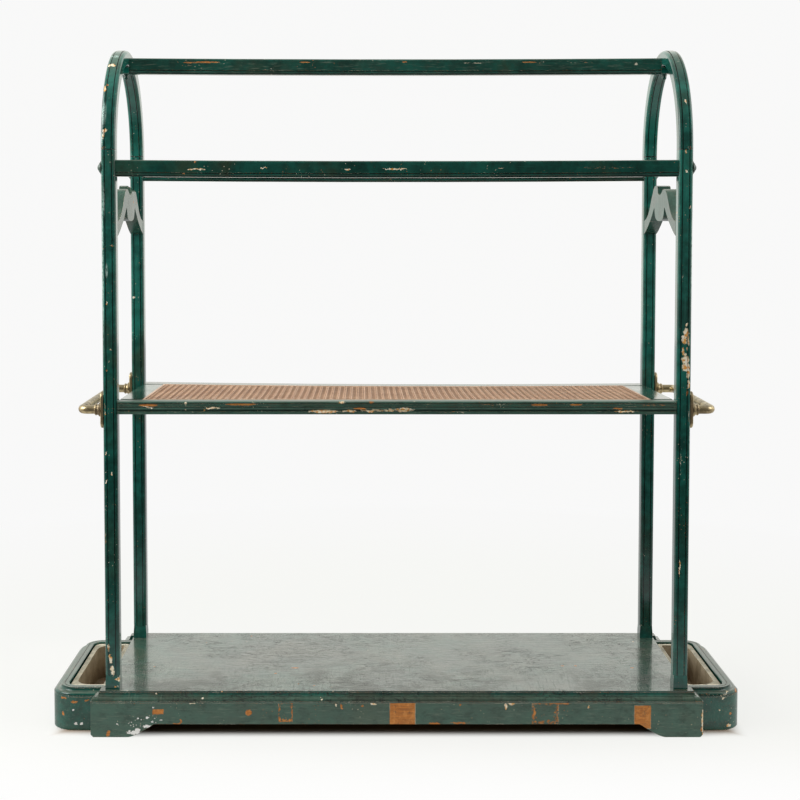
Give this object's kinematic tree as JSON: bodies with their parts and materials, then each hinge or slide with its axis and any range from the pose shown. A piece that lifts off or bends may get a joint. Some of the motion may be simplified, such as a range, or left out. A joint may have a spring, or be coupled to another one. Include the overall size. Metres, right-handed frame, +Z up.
{
  "type": "hall stand with luggage deck",
  "caption": "Painted wooden hall stand: luggage deck on bracket feet, caned shelf, coat rails between hooped ends, and brass-railed stick bays with lift-out pans.",
  "frame": {"origin": "on the floor under the middle of the stand", "axes": "+Z up, +X along the stand towards its right end, -Y towards its front"},
  "size_m": [1.404, 0.4408, 1.3878],
  "materials": {
    "green_paint": "worn dark blue-green gloss paint on wood, chipped to cream filler and orange-brown wood",
    "bare_wood": "unpainted aged deal",
    "cane": "six-way woven cane, dulled",
    "aged_brass": "tarnished brass with worn highlights",
    "iron": "black iron",
    "zinc": "dull stained zinc sheet"
  },
  "bodies": {
    "stand": {"deck_board": "green_paint", "base_front_apron": "green_paint", "base_back_apron": "green_paint", "foot_return_blocks": "green_paint", "post_socket_blocks": "bare_wood", "base_end_rail_left": "bare_wood", "base_end_rail_right": "bare_wood", "deck_battens": "bare_wood", "glue_blocks": "bare_wood", "bay_wall_left": "green_paint", "bay_wall_right": "green_paint", "bay_rim_left": "green_paint", "bay_rim_right": "green_paint", "bay_floor_left": "bare_wood", "bay_floor_right": "bare_wood", "post_front_left": "green_paint", "post_front_right": "green_paint", "post_back_left": "green_paint", "post_back_right": "green_paint", "hoop_front_left": "green_paint", "hoop_front_right": "green_paint", "hoop_back_left": "green_paint", "hoop_back_right": "green_paint", "hoop_dowels": "bare_wood", "crown_blocks": "green_paint", "crown_bolts": "green_paint", "top_rail": "green_paint", "mid_rail_front": "green_paint", "mid_rail_back": "green_paint", "rail_bolts": "iron", "rail_bosses": "green_paint", "end_bracket_left": "green_paint", "end_bracket_right": "green_paint", "shelf_front_member": "green_paint", "shelf_back_member": "green_paint", "shelf_end_left": "green_paint", "shelf_end_right": "green_paint", "cane_panel": "cane", "cane_spline": "cane", "brass_rail_left": "aged_brass", "brass_rail_right": "aged_brass", "brass_collars": "aged_brass", "brass_backplates": "aged_brass", "backplate_screws": "aged_brass", "shelf_studs": "iron"},
    "pan_left": {"drip_pan_left": "zinc"},
    "pan_right": {"drip_pan_right": "zinc"}
  },
  "joints": [
    {"name": "lift_pan_left", "type": "slide", "parent": "stand", "child": "pan_left", "axis": [0, 0, 1], "range_m": [0, 0.12]},
    {"name": "lift_pan_right", "type": "slide", "parent": "stand", "child": "pan_right", "axis": [0, 0, 1], "range_m": [0, 0.12]}
  ]
}
